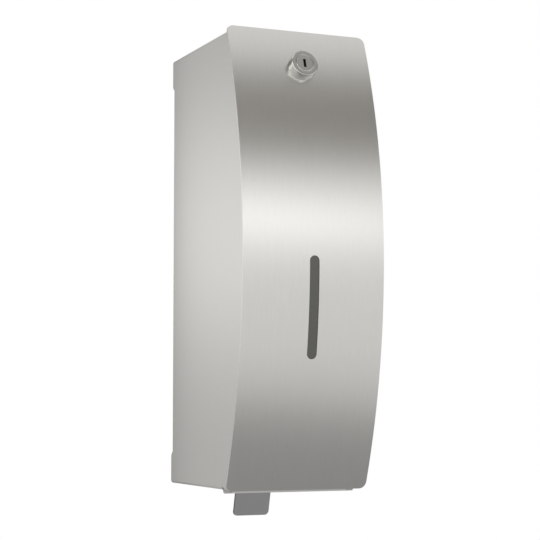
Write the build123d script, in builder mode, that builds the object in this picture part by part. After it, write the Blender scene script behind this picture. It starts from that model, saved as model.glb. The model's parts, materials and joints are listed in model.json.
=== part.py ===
from build123d import *
import math
import os

os.makedirs("parts", exist_ok=True)

# Wall soap dispenser, in millimetres. X is across the width, the front faces -Y, +Z is up.
# The origin lies on the wall plane, midway across, at the middle of the housing's bottom sheet.

# Door plate: a sheet rolled to one large arc, overhanging the housing all round
plate_overhang = 2.8
plate_thickness = 1.5
plate_bulge = 30.0
plate_corner_radius = 6.0
plate_end_depth = 114.3
plate_drop = 0.5
plate_rise = 2.5
plate_edge_break = 0.4
trim_margin = 20.0

# Housing sheet metal
sheet = 1.0
housing_width = 98.0
housing_height = 312.0
bend_radius = 2.0
door_gap = 0.5
foot_depth = 3.0
foot_height = 20.0
back_sheet = 1.2
back_flange = 9.0
wall_hole_diameter = 5.5
wall_hole_spacing_x = 60.0
wall_hole_spacing_z = 250.0
wall_pad_diameter = 20.0
wall_pad_taper = 20.0

# Hinge along the bottom front edge
hinge_setback = 12.6
hinge_barrel_diameter = 6.0
hinge_rod_diameter = 3.0
hinge_running_gap = 0.05
hinge_knuckle_length = 4.2
hinge_side_inset = 1.5
hinge_end_gap = 0.3

# Door stiffeners
stiffener_sheet = 1.2
stiffener_depth = 8.0
stiffener_side_gap = 0.8
stiffener_end_margin = 15.0
ear_height = 22.0
ear_width = 8.0

# Sight window
window_width = 7.0
window_height = 69.0
window_centre_height = 122.3
window_fit = 0.15
pane_thickness = 2.0
pane_margin = 5.0
pane_recess = 0.3

# Lock
lock_drop = 26.5
lock_head_diameter = 19.8
lock_head_length = 5.6
head_bevel = 0.6
waist = 0.4
lock_flange_diameter = 21.0
lock_flange_length = 1.5
lock_groove_diameter = 13.6
lock_groove_depth = 0.6
lock_barrel_diameter = 18.0
lock_barrel_length = 14.0
lock_hole_clearance = 0.1
lock_nut_across_flats = 22.0
lock_nut_thickness = 3.5
lock_nut_gap = 0.3
plug_diameter = 12.6
plug_fit = 0.05
plug_recess = 0.3
keyhole_width = 2.0
keyhole_height = 6.2
keyhole_depth = 9.0
tang_side = 6.0
cam_thickness = 2.0
cam_width = 9.0
cam_reach = 21.0
cam_gap = 0.5
cam_screw_diameter = 3.0
cam_screw_head_diameter = 7.0
cam_screw_head_height = 2.0
catch_sheet = 1.2
catch_width = 30.0
catch_overlap = 7.5
catch_foot = 12.0

# Tank and its lid
shelf_sheet = 1.2
shelf_height = 62.0
shelf_depth = 114.0
shelf_flange = 12.0
tank_side_gap = 4.0
tank_depth = 106.0
tank_height = 100.0
tank_wall = 2.0
tank_back_gap = 12.0
tank_corner_radius = 8.0
tank_foot_radius = 4.0
neck_diameter = 18.0
neck_bore = 11.0
neck_length = 10.0
neck_hole_clearance = 1.0
neck_depth = 78.0
lid_thickness = 2.4
lid_seat_gap = 0.3
lid_skirt = 7.0
lid_wall = 1.6
lid_side_gap = 0.4
lid_pin_diameter = 2.5
lid_pin_setback = 3.0
lid_knuckle_diameter = 4.8
lid_knuckle_length = 6.0
lid_ear_thickness = 3.0
lid_ear_centre = 31.5
lid_ear_gap = 0.3
lid_pull_width = 24.0
lid_pull_reach = 6.0

# Pump: a horizontal piston under the tank
pump_axis_height = 41.0
pump_bore = 16.0
pump_outer_diameter = 24.0
pump_rear_depth = 62.0
pump_front_depth = 96.0
pump_end_wall = 4.0
inlet_boss_diameter = 26.0
inlet_flange_length = 46.0
inlet_flange_width = 30.0
inlet_flange_thickness = 4.0
inlet_passage = 6.0
socket_clearance = 0.3
valve_disc_thickness = 1.0
valve_disc_diameter = 16.0
seal_diameter = 24.0
seal_height = 2.5
outlet_depth = 86.0
outlet_boss_diameter = 13.0
outlet_boss_bottom = 24.0
outlet_spigot_diameter = 6.0
outlet_spigot_length = 8.0
outlet_valve_thickness = 1.5
outlet_passage = 4.0
nozzle_collar_length = 4.0
nozzle_top_diameter = 9.0
nozzle_tip_diameter = 6.4
nozzle_bore = 3.2
nozzle_tip_height = -2.0
nozzle_hole_diameter = 16.0

# Piston, gland and return spring
gland_length = 4.0
gland_spigot_length = 3.0
rod_diameter = 8.0
rod_fit = 0.1
piston_fit = 0.1
piston_length = 8.0
piston_rest_gap = 1.0
piston_ring_width = 2.6
piston_ring_diameter = 15.9
piston_ring_groove = 1.4
spring_seat_diameter = 12.6
spring_seat_thickness = 1.5
spring_length = 15.0
spring_wire = 1.0
spring_turns = 5
spring_mean_diameter = 10.8
spring_end_gap = 0.1
rod_dome_radius = 5.0
lever_gap = 0.3

# Lever and its pivot
lever_width = 27.0
lever_sheet = 2.0
lever_top = 48.0
lever_face_depth = 39.0
lever_bend_height = -5.0
lever_bottom = -23.2
lever_toe_in = 4.9
lever_corner_radius = 3.0
lever_pivot_height = 21.0
lever_pivot_offset = 8.0
lever_ear_height = 16.0
lever_pin_diameter = 4.0
lever_pin_fit = 0.05
lever_slot_width = 31.0
lever_slot_front_gap = 3.0
lever_slot_depth = 19.0
bracket_sheet = 1.2
bracket_gap = 1.5
bracket_length = 26.0
bracket_foot = 7.0
washer_diameter = 8.0
washer_gap = 0.1
clip_diameter = 8.0
clip_thickness = 0.8
clip_gap = 0.2
clip_groove = 0.5
pin_overhang = 2.4

# Fasteners
pump_screw_diameter = 4.0
pump_screw_head_diameter = 7.0
pump_screw_head_height = 2.4
pump_screw_spacing = 36.0
rivet_diameter = 3.0
rivet_head_diameter = 5.0
rivet_head_height = 1.4
rivet_spacing_x = 20.0
rivet_spacing_y = 14.0
rivet_depth = 31.0

# Heights, widths and depths that follow from the sizes above
plate_width = housing_width + 2 * plate_overhang
plate_height = housing_height + plate_drop + plate_rise
hinge_depth = plate_end_depth - hinge_setback
hinge_overall_length = housing_width - 2 * hinge_side_inset
hinge_barrel_length = hinge_overall_length - 2 * (hinge_knuckle_length + hinge_end_gap)
housing_bottom = -sheet / 2
housing_top = housing_bottom + housing_height
housing_middle = housing_bottom + housing_height / 2
inner_width = housing_width - 2 * sheet
tank_width = inner_width - 2 * tank_side_gap
inner_height = housing_height - 2 * sheet
inner_top = housing_top - sheet
plate_bottom = housing_bottom - plate_drop
plate_middle = plate_bottom + plate_height / 2
curve_radius = (plate_height**2 / 4 + plate_bulge**2) / (2 * plate_bulge)
curve_y = curve_radius - plate_end_depth - plate_bulge
inner_curve_radius = curve_radius - plate_thickness
reach = plate_end_depth + plate_bulge + trim_margin
back_inner_y = -foot_depth - back_sheet
window_middle = plate_bottom + window_centre_height


def export(piece, name):
    """Label a finished piece and write it to its own file."""
    piece.part.label = name
    export_step(piece.part, f"parts/{name}.step")


def curve_depth(radius, height):
    """Y of a circle about the door's curve axis at a given height."""
    return curve_y - math.sqrt(radius**2 - (height - plate_middle) ** 2)


# Housing: left side, top, right side and bottom in one folded sheet
with BuildPart() as housing_wrap:
    with BuildSketch(Plane.XZ):
        with Locations((0, housing_middle)):
            RectangleRounded(housing_width, housing_height, bend_radius)
            RectangleRounded(inner_width, inner_height, bend_radius - sheet, mode=Mode.SUBTRACT)
    extrude(amount=reach)
    # the front edge follows the door's curve
    with BuildSketch(Plane.YZ):
        with Locations((curve_y, plate_middle)):
            Circle(inner_curve_radius - door_gap)
    extrude(amount=housing_width, both=True, mode=Mode.INTERSECT)
    # the sides stand off the wall between the four corner feet
    with BuildSketch(Plane.YZ):
        with BuildLine():
            Polyline(
                (0, housing_bottom + foot_height),
                (-foot_depth, housing_bottom + foot_height + foot_depth),
                (-foot_depth, housing_top - foot_height - foot_depth),
                (0, housing_top - foot_height),
                close=True,
            )
        make_face()
    extrude(amount=housing_width, both=True, mode=Mode.SUBTRACT)
    # bottom sheet: openings for the lever and the nozzle, and the front cut back to the hinge
    lever_slot_middle = -lever_face_depth - lever_slot_front_gap + lever_slot_depth / 2
    with BuildSketch(Plane.XY.offset(-sheet)):
        with Locations((0, lever_slot_middle)):
            RectangleRounded(lever_slot_width, lever_slot_depth, lever_corner_radius)
        with Locations((0, -outlet_depth)):
            Circle(nozzle_hole_diameter / 2)
    extrude(amount=2 * sheet, mode=Mode.SUBTRACT)
    knuckle_clear_depth = hinge_depth - hinge_barrel_diameter / 2 - 2 * hinge_end_gap
    with BuildSketch(Plane.XY.offset(-sheet)):
        with Locations((0, -hinge_depth)):
            Rectangle(inner_width, reach, align=(Align.CENTER, Align.MAX))
        for side in (-1, 1):
            with Locations((side * inner_width / 2, -knuckle_clear_depth)):
                Rectangle(
                    (inner_width - hinge_barrel_length) / 2,
                    reach,
                    align=(Align.MAX if side > 0 else Align.MIN, Align.MAX),
                )
    extrude(amount=bend_radius + sheet, mode=Mode.SUBTRACT)
    # rolled hinge barrel at the front of the bottom sheet
    with BuildSketch(Plane.YZ.offset(-hinge_barrel_length / 2)):
        with Locations((-hinge_depth, 0)):
            Circle(hinge_barrel_diameter / 2)
    extrude(amount=hinge_barrel_length)
    with BuildSketch(Plane.YZ.offset(-housing_width / 2)):
        with Locations((-hinge_depth, 0)):
            Circle(hinge_rod_diameter / 2 + hinge_running_gap)
    extrude(amount=housing_width, mode=Mode.SUBTRACT)
export(housing_wrap, "housing_wrap")

# Back panel: a shallow tray set in between the feet, dimpled back to the wall at its four screw holes
with BuildPart() as back_panel:
    with BuildSketch(Plane.XZ.offset(foot_depth)):
        with Locations((0, housing_middle)):
            RectangleRounded(inner_width, inner_height, bend_radius - sheet)
    extrude(amount=back_flange)
    with BuildSketch(Plane.XZ.offset(foot_depth + back_sheet)):
        with Locations((0, housing_middle)):
            RectangleRounded(inner_width - 2 * back_sheet, inner_height - 2 * back_sheet, bend_radius)
    extrude(amount=back_flange, mode=Mode.SUBTRACT)
    with BuildSketch(Plane.XZ):
        with Locations((0, housing_middle)):
            with GridLocations(wall_hole_spacing_x, wall_hole_spacing_z, 2, 2):
                Circle(wall_pad_diameter / 2)
    extrude(amount=foot_depth + back_sheet, taper=-wall_pad_taper)
    with BuildSketch(Plane.XZ.offset(back_sheet)):
        with Locations((0, housing_middle)):
            with GridLocations(wall_hole_spacing_x, wall_hole_spacing_z, 2, 2):
                Circle(wall_pad_diameter / 2 - back_sheet / 2)
    extrude(amount=foot_depth + back_sheet, taper=-wall_pad_taper, mode=Mode.SUBTRACT)
    with BuildSketch(Plane.XZ):
        with Locations((0, housing_middle)):
            with GridLocations(wall_hole_spacing_x, wall_hole_spacing_z, 2, 2):
                Circle(wall_hole_diameter / 2)
    extrude(amount=back_flange, mode=Mode.SUBTRACT)
export(back_panel, "back_panel")

# Hinge rod through the barrel and the two door knuckles
with BuildPart() as hinge_rod:
    with BuildSketch(Plane.YZ.offset(-hinge_overall_length / 2)):
        with Locations((-hinge_depth, 0)):
            Circle(hinge_rod_diameter / 2)
    extrude(amount=hinge_overall_length)
    chamfer(hinge_rod.edges().filter_by(GeomType.CIRCLE), plate_edge_break)
export(hinge_rod, "hinge_rod")


def rolled_slab(outer_radius, thickness, outline):
    """A sheet rolled to the door's curve and trimmed to an outline drawn on the wall plane."""
    with BuildPart() as slab:
        with BuildSketch(Plane.YZ):
            with Locations((curve_y, plate_middle)):
                Circle(outer_radius)
                Circle(outer_radius - thickness, mode=Mode.SUBTRACT)
        extrude(amount=plate_width / 2, both=True)
        extrude(outline, amount=reach, mode=Mode.INTERSECT)
    return slab.part


with BuildSketch(Plane.XZ) as plate_outline:
    with Locations((0, plate_middle)):
        RectangleRounded(plate_width, plate_height, plate_corner_radius)
with BuildSketch(Plane.XZ) as window_slot:
    with Locations((0, window_middle)):
        SlotOverall(window_height, window_width, rotation=90)
with BuildSketch(Plane.XZ) as pane_outline:
    with Locations((0, window_middle)):
        RectangleRounded(window_width + 2 * pane_margin, window_height + 2 * pane_margin, pane_margin)
with BuildSketch(Plane.XZ) as pane_land_outline:
    with Locations((0, window_middle)):
        SlotOverall(window_height - 2 * window_fit, window_width - 2 * window_fit, rotation=90)

# Lock frame: its axis stands square on the curved plate
lock_height = plate_height - lock_drop
lock_middle = plate_bottom + lock_height
lock_angle = math.asin((lock_middle - plate_middle) / curve_radius)
lock_normal = Vector(0, -math.cos(lock_angle), math.sin(lock_angle))
lock_plane = Plane(
    origin=(0, curve_y - curve_radius * math.cos(lock_angle), lock_middle),
    x_dir=(1, 0, 0),
    z_dir=lock_normal,
)
lock_section = Plane(
    origin=lock_plane.origin,
    x_dir=(1, 0, 0),
    z_dir=(0, -math.sin(lock_angle), -math.cos(lock_angle)),
)
lock_axis = Axis(lock_plane.origin, lock_normal)

# Door plate
plate_blank = rolled_slab(curve_radius, plate_thickness, plate_outline.sketch)
with BuildPart() as door_plate:
    add(plate_blank)
    extrude(window_slot.sketch, amount=reach, mode=Mode.SUBTRACT)
    with BuildSketch(lock_plane.offset(-2 * plate_thickness)):
        Circle(lock_barrel_diameter / 2 + lock_hole_clearance)
    extrude(amount=4 * plate_thickness, mode=Mode.SUBTRACT)
export(door_plate, "door_plate")


def door_stiffener(side):
    """A curved strip behind one edge of the door plate, ending in an ear and a hinge knuckle."""
    outer_face = inner_width / 2 - stiffener_side_gap
    inner_face = outer_face - stiffener_sheet
    knuckle_start = hinge_barrel_length / 2 + hinge_end_gap
    knuckle_length = hinge_overall_length / 2 - knuckle_start
    with BuildPart() as strip:
        with BuildSketch(Plane.YZ.offset(side * inner_face)):
            with Locations((curve_y, plate_middle)):
                Circle(inner_curve_radius)
                Circle(inner_curve_radius - stiffener_depth, mode=Mode.SUBTRACT)
            with Locations((0, plate_middle)):
                Rectangle(2 * reach, plate_height - 2 * stiffener_end_margin, mode=Mode.INTERSECT)
        extrude(amount=side * stiffener_sheet)
        # ear from the strip's lower end to the hinge
        ear_middle = plate_bottom + stiffener_end_margin + ear_height / 2
        with BuildSketch(Plane.YZ.offset(side * inner_face)):
            with Locations((-hinge_depth, 0)):
                Circle(hinge_barrel_diameter / 2)
            with Locations((curve_depth(inner_curve_radius, ear_middle) + ear_width / 2, ear_middle)):
                Rectangle(ear_width, ear_height)
            make_hull()
            with Locations((curve_y, plate_middle)):
                Circle(inner_curve_radius, mode=Mode.INTERSECT)
        extrude(amount=side * stiffener_sheet)
        with BuildSketch(Plane.YZ.offset(side * knuckle_start)):
            with Locations((-hinge_depth, 0)):
                Circle(hinge_barrel_diameter / 2)
        extrude(amount=side * knuckle_length)
        with BuildSketch(Plane.YZ.offset(side * (knuckle_start - hinge_end_gap))):
            with Locations((-hinge_depth, 0)):
                Circle(hinge_rod_diameter / 2 + hinge_running_gap)
        extrude(amount=side * (knuckle_length + 2 * hinge_end_gap), mode=Mode.SUBTRACT)
    return strip


export(door_stiffener(-1), "door_stiffener_left")
export(door_stiffener(1), "door_stiffener_right")

# Sight window: a smoked pane behind the plate, with a land that fills the slot
pane_body = rolled_slab(inner_curve_radius, pane_thickness, pane_outline.sketch)
pane_land = rolled_slab(curve_radius - pane_recess, plate_thickness - pane_recess, pane_land_outline.sketch)
with BuildPart() as sight_window:
    add(pane_body)
    add(pane_land)
export(sight_window, "sight_window")

# Lock barrel: turned head in front of the plate, threaded barrel behind it
head_radius = lock_head_diameter / 2
flange_radius = lock_flange_diameter / 2
barrel_radius = lock_barrel_diameter / 2
plug_bore_radius = plug_diameter / 2 + plug_fit
groove_radius = lock_groove_diameter / 2
with BuildPart() as lock_barrel:
    with BuildSketch(lock_section):
        with BuildLine():
            Polyline(
                (plug_bore_radius, -lock_barrel_length),
                (barrel_radius, -lock_barrel_length),
                (barrel_radius, 0),
                (flange_radius, 0),
                (flange_radius, lock_flange_length - waist),
                (flange_radius - waist, lock_flange_length),
                (head_radius - waist, lock_flange_length + waist),
                (head_radius, lock_head_length - head_bevel),
                (head_radius - head_bevel, lock_head_length),
                (groove_radius, lock_head_length),
                (groove_radius, lock_head_length - lock_groove_depth),
                (plug_bore_radius, lock_head_length - lock_groove_depth),
                close=True,
            )
        make_face()
    revolve(axis=lock_axis)
export(lock_barrel, "lock_barrel")

with BuildPart() as lock_nut:
    with BuildSketch(lock_plane.offset(-plate_thickness - lock_nut_gap - lock_nut_thickness)):
        RegularPolygon(lock_nut_across_flats / 2, 6, major_radius=False)
        Circle(barrel_radius, mode=Mode.SUBTRACT)
    extrude(amount=lock_nut_thickness)
export(lock_nut, "lock_nut")

# Key plug, with its tang for the cam
cam_front = -lock_barrel_length - cam_gap
with BuildPart() as lock_plug:
    with BuildSketch(lock_plane.offset(-lock_barrel_length - cam_gap)):
        Circle(plug_diameter / 2)
    extrude(amount=lock_head_length + lock_barrel_length + cam_gap - plug_recess)
    chamfer(lock_plug.edges().filter_by(GeomType.CIRCLE).sort_by(lock_axis)[-1], plug_recess)
    with BuildSketch(lock_plane.offset(cam_front - cam_thickness)):
        Rectangle(tang_side, tang_side)
    extrude(amount=cam_thickness)
    with BuildSketch(lock_plane.offset(lock_head_length)):
        Rectangle(keyhole_width, keyhole_height)
    extrude(amount=-keyhole_depth, mode=Mode.SUBTRACT)
    with BuildSketch(lock_plane.offset(cam_front - cam_thickness)):
        Circle(cam_screw_diameter / 2)
    extrude(amount=2 * cam_thickness, mode=Mode.SUBTRACT)
export(lock_plug, "lock_plug")

# Cam: at rest it points sideways, turned a quarter it points up behind the catch
with BuildPart() as lock_cam:
    with BuildSketch(lock_plane.offset(cam_front - cam_thickness)):
        with Locations((cam_reach / 2 - cam_width / 4, 0)):
            SlotOverall(cam_reach + cam_width / 2, cam_width)
        Rectangle(tang_side, tang_side, mode=Mode.SUBTRACT)
    extrude(amount=cam_thickness)
export(lock_cam, "lock_cam")

with BuildPart() as cam_screw:
    with BuildSketch(lock_plane.offset(cam_front - cam_thickness)):
        Circle(cam_screw_diameter / 2)
    extrude(amount=2 * cam_thickness)
    with BuildSketch(lock_plane.offset(cam_front - cam_thickness)):
        Circle(cam_screw_head_diameter / 2)
    extrude(amount=-cam_screw_head_height)
    with BuildSketch(lock_plane.offset(cam_front - cam_thickness - cam_screw_head_height)):
        Rectangle(cam_screw_head_diameter, catch_sheet)
    extrude(amount=catch_sheet, mode=Mode.SUBTRACT)
export(cam_screw, "cam_screw")

# Catch: a tilted flange hung from the top sheet, which the turned cam hooks behind
catch_front = cam_front + cam_gap
with BuildPart() as catch_angle:
    catch_lower = cam_reach - catch_overlap
    with BuildSketch(lock_plane.offset(catch_front)):
        with Locations((0, catch_lower)):
            Rectangle(catch_width, housing_height, align=(Align.CENTER, Align.MIN))
    extrude(amount=catch_sheet)
    split(bisect_by=Plane.XY.offset(inner_top), keep=Keep.BOTTOM)
    catch_back = catch_angle.vertices().group_by(Axis.Z)[-1].sort_by(Axis.Y)[-1].Y
    with BuildSketch(Plane.XY.offset(inner_top)):
        with Locations((0, catch_back)):
            Rectangle(catch_width, catch_foot, align=(Align.CENTER, Align.MIN))
        with Locations((0, catch_back)):
            Rectangle(catch_width, catch_sheet, align=(Align.CENTER, Align.MAX))
    extrude(amount=-catch_sheet)
export(catch_angle, "catch_angle")

# Shelf under the tank, folded down at both sides and up at the back
shelf_top = shelf_height + shelf_sheet
with BuildPart() as tank_shelf:
    with BuildSketch(Plane.XY.offset(shelf_height)):
        with Locations((0, back_inner_y)):
            Rectangle(inner_width, shelf_depth + back_inner_y, align=(Align.CENTER, Align.MAX))
    extrude(amount=shelf_sheet)
    flange_front = back_inner_y - back_flange + back_sheet
    with BuildSketch(Plane.XY.offset(shelf_top)):
        for side in (-1, 1):
            with Locations((side * inner_width / 2, flange_front)):
                Rectangle(
                    shelf_sheet,
                    shelf_depth + flange_front,
                    align=(Align.MAX if side > 0 else Align.MIN, Align.MAX),
                )
    extrude(amount=-shelf_flange)
    with BuildSketch(Plane.XY.offset(shelf_height)):
        with Locations((0, back_inner_y)):
            Rectangle(inner_width - 4 * back_sheet, shelf_sheet, align=(Align.CENTER, Align.MAX))
    extrude(amount=shelf_flange)
    # the shelf's corners are cut out where the back panel's side flanges pass
    with BuildSketch(Plane.XY.offset(shelf_height)):
        for side in (-1, 1):
            with Locations((side * inner_width / 2, back_inner_y)):
                Rectangle(
                    2 * back_sheet,
                    back_flange - back_sheet,
                    align=(Align.MAX if side > 0 else Align.MIN, Align.MAX),
                )
    extrude(amount=shelf_sheet, mode=Mode.SUBTRACT)
    with BuildSketch(Plane.XY.offset(shelf_height)):
        with Locations((0, -neck_depth)):
            Circle(neck_diameter / 2 + neck_hole_clearance)
            with GridLocations(pump_screw_spacing, 1, 2, 1):
                Circle(pump_screw_diameter / 2)
        with Locations((0, -rivet_depth)):
            with GridLocations(rivet_spacing_x, rivet_spacing_y, 2, 2):
                Circle(rivet_diameter / 2)
    extrude(amount=shelf_sheet, mode=Mode.SUBTRACT)
export(tank_shelf, "tank_shelf")

# Tank: an open-topped moulded box with an outlet neck and two lid ears at the back
tank_back = back_inner_y - tank_back_gap
tank_middle = tank_back - tank_depth / 2
tank_top = shelf_top + tank_height
lid_pin_y = tank_back + lid_pin_setback
lid_pin_z = tank_top + lid_seat_gap + lid_knuckle_diameter / 2
with BuildPart() as soap_tank:
    with BuildSketch(Plane.XY.offset(shelf_top)):
        with Locations((0, tank_middle)):
            RectangleRounded(tank_width, tank_depth, tank_corner_radius)
    extrude(amount=tank_height)
    fillet(soap_tank.edges().group_by(Axis.Z)[0], tank_foot_radius)
    with BuildSketch(Plane.XY.offset(shelf_top + tank_wall)):
        with Locations((0, tank_middle)):
            RectangleRounded(
                tank_width - 2 * tank_wall, tank_depth - 2 * tank_wall, tank_corner_radius - tank_wall
            )
    extrude(amount=tank_height, mode=Mode.SUBTRACT)
    with BuildSketch(Plane.XY.offset(shelf_top)):
        with Locations((0, -neck_depth)):
            Circle(neck_diameter / 2)
    extrude(amount=-neck_length)
    with BuildSketch(Plane.XY.offset(shelf_top - neck_length)):
        with Locations((0, -neck_depth)):
            Circle(neck_bore / 2)
    extrude(amount=neck_length + tank_wall, mode=Mode.SUBTRACT)
    # lid ears
    for side in (-1, 1):
        with BuildSketch(Plane.YZ.offset(side * lid_ear_centre - lid_ear_thickness / 2)):
            with Locations((lid_pin_y, lid_pin_z)):
                Circle(lid_knuckle_diameter / 2)
            with Locations((tank_back, tank_top)):
                Rectangle(tank_wall, 2 * lid_knuckle_diameter, align=(Align.MAX, Align.MAX))
            make_hull()
        extrude(amount=lid_ear_thickness)
    with BuildSketch(Plane.YZ.offset(-tank_width / 2)):
        with Locations((lid_pin_y, lid_pin_z)):
            Circle(lid_pin_diameter / 2)
    extrude(amount=tank_width, mode=Mode.SUBTRACT)
export(soap_tank, "soap_tank")

# Lid: a plate with a skirt on three sides, hinged at the back
lid_bottom = tank_top + lid_seat_gap
lid_width = tank_width + 2 * lid_side_gap + 2 * lid_wall
lid_length = tank_depth + lid_side_gap + lid_wall - tank_wall
lid_rear = tank_back - tank_wall
lid_knuckle_start = lid_ear_centre - lid_ear_thickness / 2 - lid_ear_gap - lid_knuckle_length
with BuildPart() as tank_lid:
    with BuildSketch(Plane.XY.offset(lid_bottom)):
        with Locations((0, lid_rear - lid_length / 2)):
            RectangleRounded(lid_width, lid_length, tank_corner_radius)
        with Locations((0, lid_rear - lid_length)):
            SlotOverall(lid_pull_width, 2 * lid_pull_reach)
    extrude(amount=lid_thickness)
    with BuildSketch(Plane.XY.offset(lid_bottom)):
        with Locations((0, lid_rear - lid_length / 2)):
            RectangleRounded(lid_width, lid_length, tank_corner_radius)
            RectangleRounded(
                lid_width - 2 * lid_wall, lid_length - 2 * lid_wall,
                tank_corner_radius - lid_wall, mode=Mode.SUBTRACT,
            )
        with Locations((0, lid_rear)):
            Rectangle(lid_width, 2 * tank_corner_radius, mode=Mode.SUBTRACT)
    extrude(amount=-lid_skirt)
    fillet(tank_lid.faces().sort_by(Axis.Z)[-1].edges(), plate_edge_break)
    # knuckles between the tank's ears
    for side in (-1, 1):
        start = side * lid_knuckle_start
        with BuildSketch(Plane.YZ.offset(start)):
            with Locations((lid_pin_y, lid_pin_z)):
                Circle(lid_knuckle_diameter / 2)
            with Locations((lid_rear, lid_bottom)):
                Rectangle(lid_thickness, lid_thickness, align=(Align.MAX, Align.MIN))
            make_hull()
        extrude(amount=side * lid_knuckle_length)
    with BuildSketch(Plane.YZ.offset(-lid_width / 2)):
        with Locations((lid_pin_y, lid_pin_z)):
            Circle(lid_pin_diameter / 2 + plug_fit)
    extrude(amount=lid_width, mode=Mode.SUBTRACT)
export(tank_lid, "tank_lid")

with BuildPart() as lid_pins:
    pin_length = lid_ear_thickness + lid_ear_gap + lid_knuckle_length
    for side in (-1, 1):
        with BuildSketch(Plane.YZ.offset(side * lid_knuckle_start)):
            with Locations((lid_pin_y, lid_pin_z)):
                Circle(lid_pin_diameter / 2)
        extrude(amount=side * pin_length)
export(lid_pins, "lid_pins")

# Pump body: cylinder, inlet boss with its flange, and outlet boss
neck_bottom = shelf_top - neck_length
socket_floor = neck_bottom - valve_disc_thickness
flange_bottom = shelf_height - inlet_flange_thickness
bore_radius = pump_bore / 2
with BuildPart() as pump_body:
    with BuildSketch(Plane.XZ.offset(pump_rear_depth)):
        with Locations((0, pump_axis_height)):
            Circle(pump_outer_diameter / 2)
    extrude(amount=pump_front_depth - pump_rear_depth)
    with BuildSketch(Plane.XY.offset(pump_axis_height)):
        with Locations((0, -neck_depth)):
            Circle(inlet_boss_diameter / 2)
    extrude(amount=shelf_height - pump_axis_height)
    with BuildSketch(Plane.XY.offset(flange_bottom)):
        with Locations((0, -neck_depth)):
            SlotOverall(inlet_flange_length, inlet_flange_width)
    extrude(amount=inlet_flange_thickness)
    with BuildSketch(Plane.XY.offset(pump_axis_height)):
        with Locations((0, -outlet_depth)):
            Circle(outlet_boss_diameter / 2)
    extrude(amount=outlet_boss_bottom - pump_axis_height)
    # cylinder bore, blind at the front
    with BuildSketch(Plane.XZ.offset(pump_rear_depth)):
        with Locations((0, pump_axis_height)):
            Circle(bore_radius)
    extrude(amount=pump_front_depth - pump_rear_depth - pump_end_wall, mode=Mode.SUBTRACT)
    # inlet: seal pocket, neck socket and passage
    with BuildSketch(Plane.XY.offset(shelf_height)):
        with Locations((0, -neck_depth)):
            Circle(seal_diameter / 2)
    extrude(amount=-seal_height, mode=Mode.SUBTRACT)
    with BuildSketch(Plane.XY.offset(shelf_height)):
        with Locations((0, -neck_depth)):
            Circle(neck_diameter / 2 + socket_clearance)
    extrude(amount=socket_floor - shelf_height, mode=Mode.SUBTRACT)
    with BuildSketch(Plane.XY.offset(shelf_height)):
        with Locations((0, -neck_depth)):
            Circle(inlet_passage / 2)
    extrude(amount=pump_axis_height - shelf_height, mode=Mode.SUBTRACT)
    # outlet: passage, then the seat for the valve and the nozzle
    with BuildSketch(Plane.XY.offset(pump_axis_height)):
        with Locations((0, -outlet_depth)):
            Circle(outlet_passage / 2)
    extrude(amount=outlet_boss_bottom - pump_axis_height, mode=Mode.SUBTRACT)
    with BuildSketch(Plane.XY.offset(outlet_boss_bottom)):
        with Locations((0, -outlet_depth)):
            Circle(outlet_spigot_diameter / 2)
    extrude(amount=outlet_spigot_length + outlet_valve_thickness, mode=Mode.SUBTRACT)
    # screw holes through the flange
    with BuildSketch(Plane.XY.offset(flange_bottom)):
        with Locations((0, -neck_depth)):
            with GridLocations(pump_screw_spacing, 1, 2, 1):
                Circle(pump_screw_diameter / 2)
    extrude(amount=inlet_flange_thickness, mode=Mode.SUBTRACT)
export(pump_body, "pump_body")

with BuildPart() as inlet_seal:
    with BuildSketch(Plane.XY.offset(shelf_height - seal_height)):
        with Locations((0, -neck_depth)):
            Circle(seal_diameter / 2)
            Circle(neck_diameter / 2, mode=Mode.SUBTRACT)
    extrude(amount=seal_height)
export(inlet_seal, "inlet_seal")

with BuildPart() as inlet_valve:
    with BuildSketch(Plane.XY.offset(socket_floor)):
        with Locations((0, -neck_depth)):
            Circle(valve_disc_diameter / 2)
            Circle(neck_bore / 2, mode=Mode.SUBTRACT)
            SlotOverall(neck_bore + valve_disc_thickness, inlet_passage + valve_disc_thickness)
    extrude(amount=valve_disc_thickness)
export(inlet_valve, "inlet_valve")

with BuildPart() as pump_screws:
    with BuildSketch(Plane.XY.offset(flange_bottom)):
        with Locations((0, -neck_depth)):
            with GridLocations(pump_screw_spacing, 1, 2, 1):
                Circle(pump_screw_diameter / 2)
    extrude(amount=inlet_flange_thickness + shelf_sheet)
    with BuildSketch(Plane.XY.offset(flange_bottom)):
        with Locations((0, -neck_depth)):
            with GridLocations(pump_screw_spacing, 1, 2, 1):
                Circle(pump_screw_head_diameter / 2)
    extrude(amount=-pump_screw_head_height)
    chamfer(pump_screws.edges().group_by(Axis.Z)[0], pump_screw_head_height / 3)
export(pump_screws, "pump_screws")

# Outlet valve and nozzle
with BuildPart() as outlet_valve:
    with BuildSketch(Plane.XY.offset(outlet_boss_bottom + outlet_spigot_length)):
        with Locations((0, -outlet_depth)):
            Circle(outlet_spigot_diameter / 2)
            Rectangle(outlet_passage, plate_edge_break, mode=Mode.SUBTRACT)
    extrude(amount=outlet_valve_thickness)
export(outlet_valve, "outlet_valve")

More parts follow.
